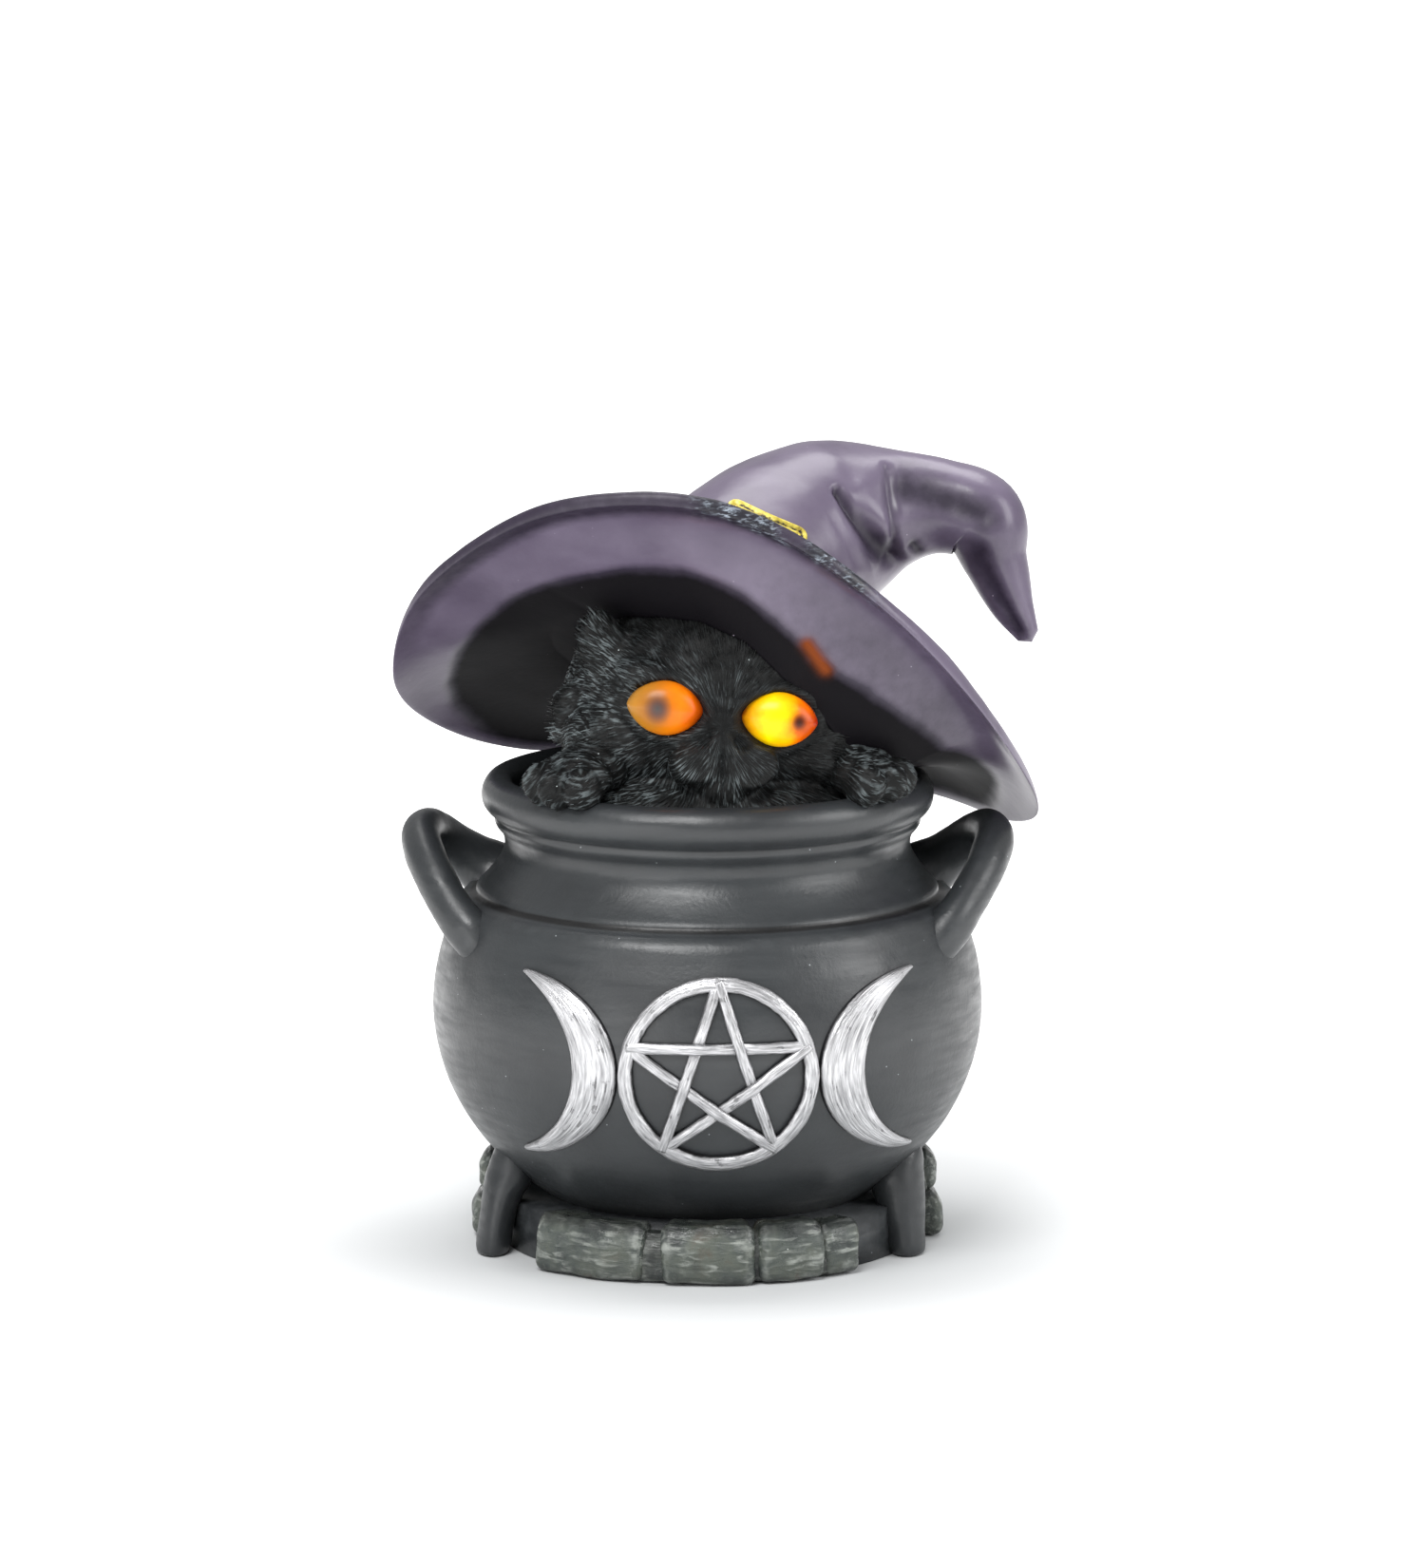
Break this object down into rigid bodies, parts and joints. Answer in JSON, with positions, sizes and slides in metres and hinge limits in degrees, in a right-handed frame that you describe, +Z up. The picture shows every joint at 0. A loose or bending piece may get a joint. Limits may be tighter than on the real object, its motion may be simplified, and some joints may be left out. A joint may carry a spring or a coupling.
{
  "type": "light-up cauldron kitten figure",
  "caption": "Cast-resin figure of a kitten in a witch hat looking out of a cauldron on a stone ring, with eyes lit from inside by a battery module in the base",
  "frame": {"origin": "centre of the stone ring, on the underside that the figure stands on", "axes": "+Z up, the kitten looks towards -Y, +X to the right of someone facing it"},
  "size_m": [0.0996, 0.0859, 0.1215],
  "materials": {
    "black_resin": "satin black paint on cast resin",
    "fur_resin": "black paint dry-brushed grey on engraved fur",
    "hat_resin": "dusty purple paint, satin gloss, darker in the folds",
    "gold_paint": "hand-painted gold",
    "silver_paint": "hand-brushed silver paint",
    "stone_paint": "grey-green wash over dark, glossy in places",
    "eye_amber": "clear amber dome lit from behind",
    "led_epoxy": "clear moulded epoxy",
    "felt": "pressed felt",
    "black_plastic": "moulded",
    "red_insulation": "extruded",
    "resistor_lacquer": "lacquered",
    "board_lacquer": "green solder mask",
    "steel": "nickel plated"
  },
  "bodies": {
    "figure": {"stone_plinth": "stone_paint", "base_felt": "felt", "cauldron_body": "black_resin", "foot_front_left": "black_resin", "foot_front_right": "black_resin", "foot_back": "black_resin", "pentacle": "silver_paint", "crescent_left": "silver_paint", "crescent_right": "silver_paint", "kitten_bust": "fur_resin", "paw_left": "fur_resin", "paw_right": "fur_resin", "witch_hat": "hat_resin", "hat_band": "gold_paint", "hat_buckle": "gold_paint", "handle_left": "black_resin", "handle_right": "black_resin", "eye_lens_left": "eye_amber", "eye_lens_right": "eye_amber", "led_left": "led_epoxy", "led_right": "led_epoxy", "led_lead_red_left": "red_insulation", "led_lead_red_right": "red_insulation", "led_lead_black_left": "black_plastic", "led_lead_black_right": "black_plastic", "resistor_left": "resistor_lacquer", "resistor_right": "resistor_lacquer", "battery_box": "black_plastic", "button_cell_1": "steel", "button_cell_2": "steel", "button_cell_3": "steel", "contact_plate": "steel", "contact_spring": "steel", "switch_housing": "steel", "circuit_board": "board_lacquer"},
    "battery_cover": {"battery_cover": "black_plastic"},
    "cover_screw": {"cover_screw": "steel"},
    "switch_knob": {"switch_knob": "black_plastic"}
  },
  "joints": [
    {"name": "cover_lift", "type": "slide", "parent": "figure", "child": "battery_cover", "axis": [0, 0, -1], "range_m": [0, 0.02]},
    {"name": "screw_turn", "type": "hinge", "parent": "battery_cover", "child": "cover_screw", "pos_m": [0.0112, 0.01415, 0.0016], "axis": [0, 0, 1], "continuous": true},
    {"name": "switch_slide", "type": "slide", "parent": "figure", "child": "switch_knob", "axis": [1, 0, 0], "range_m": [0, 0.002]}
  ]
}
